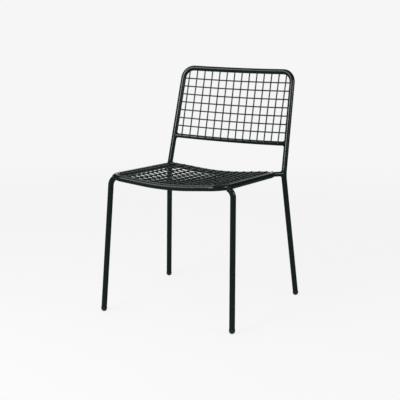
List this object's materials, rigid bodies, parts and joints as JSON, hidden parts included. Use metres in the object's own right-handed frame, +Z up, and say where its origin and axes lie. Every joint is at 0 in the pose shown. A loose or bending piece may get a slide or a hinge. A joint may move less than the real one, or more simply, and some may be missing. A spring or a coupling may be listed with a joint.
{
  "type": "wire mesh chair",
  "caption": "Armless stacking side chair of bent steel tube, with a dished seat and a bowed back of welded square wire mesh, on domed plastic foot glides.",
  "frame": {"origin": "on the floor under the middle of the chair's outline, on its plane of symmetry", "axes": "+X across the seat, to the right as the chair is seen from its front, which is the sitter's left; +Y from the front of the seat to the back; +Z up"},
  "size_m": [0.554, 0.5714, 0.8179],
  "materials": {
    "frame_coat": "very dark green powder coat, satin, fine texture",
    "mesh_coat": "very dark green powder coat, satin",
    "foot_plastic": "moulded charcoal plastic"
  },
  "bodies": {
    "root": {"back_cross_wire_01": "mesh_coat", "back_cross_wire_02": "mesh_coat", "back_cross_wire_03": "mesh_coat", "back_cross_wire_04": "mesh_coat", "back_cross_wire_05": "mesh_coat", "back_cross_wire_06": "mesh_coat", "back_cross_wire_07": "mesh_coat", "back_frame_tube": "frame_coat", "back_upright_wire_01": "mesh_coat", "back_upright_wire_02": "mesh_coat", "back_upright_wire_03": "mesh_coat", "back_upright_wire_04": "mesh_coat", "back_upright_wire_05": "mesh_coat", "back_upright_wire_06": "mesh_coat", "back_upright_wire_07": "mesh_coat", "back_upright_wire_08": "mesh_coat", "back_upright_wire_09": "mesh_coat", "back_upright_wire_10": "mesh_coat", "back_upright_wire_11": "mesh_coat", "back_upright_wire_12": "mesh_coat", "back_upright_wire_13": "mesh_coat", "back_upright_wire_14": "mesh_coat", "foot_glide_front_left": "foot_plastic", "foot_glide_front_right": "foot_plastic", "foot_glide_rear_left": "foot_plastic", "foot_glide_rear_right": "foot_plastic", "front_leg_left": "frame_coat", "front_leg_right": "frame_coat", "lower_back_rail": "frame_coat", "rear_stub_left": "frame_coat", "rear_stub_right": "frame_coat", "seat_cross_wire_01": "mesh_coat", "seat_cross_wire_02": "mesh_coat", "seat_cross_wire_03": "mesh_coat", "seat_cross_wire_04": "mesh_coat", "seat_cross_wire_05": "mesh_coat", "seat_cross_wire_06": "mesh_coat", "seat_cross_wire_07": "mesh_coat", "seat_cross_wire_08": "mesh_coat", "seat_cross_wire_09": "mesh_coat", "seat_cross_wire_10": "mesh_coat", "seat_cross_wire_11": "mesh_coat", "seat_cross_wire_12": "mesh_coat", "seat_cross_wire_13": "mesh_coat", "seat_long_wire_01": "mesh_coat", "seat_long_wire_02": "mesh_coat", "seat_long_wire_03": "mesh_coat", "seat_long_wire_04": "mesh_coat", "seat_long_wire_05": "mesh_coat", "seat_long_wire_06": "mesh_coat", "seat_long_wire_07": "mesh_coat", "seat_long_wire_08": "mesh_coat", "seat_long_wire_09": "mesh_coat", "seat_long_wire_10": "mesh_coat", "seat_long_wire_11": "mesh_coat", "seat_long_wire_12": "mesh_coat", "seat_long_wire_13": "mesh_coat", "seat_perimeter_wire": "mesh_coat", "seat_ring": "frame_coat", "weld_beads": "frame_coat"}
  },
  "joints": []
}
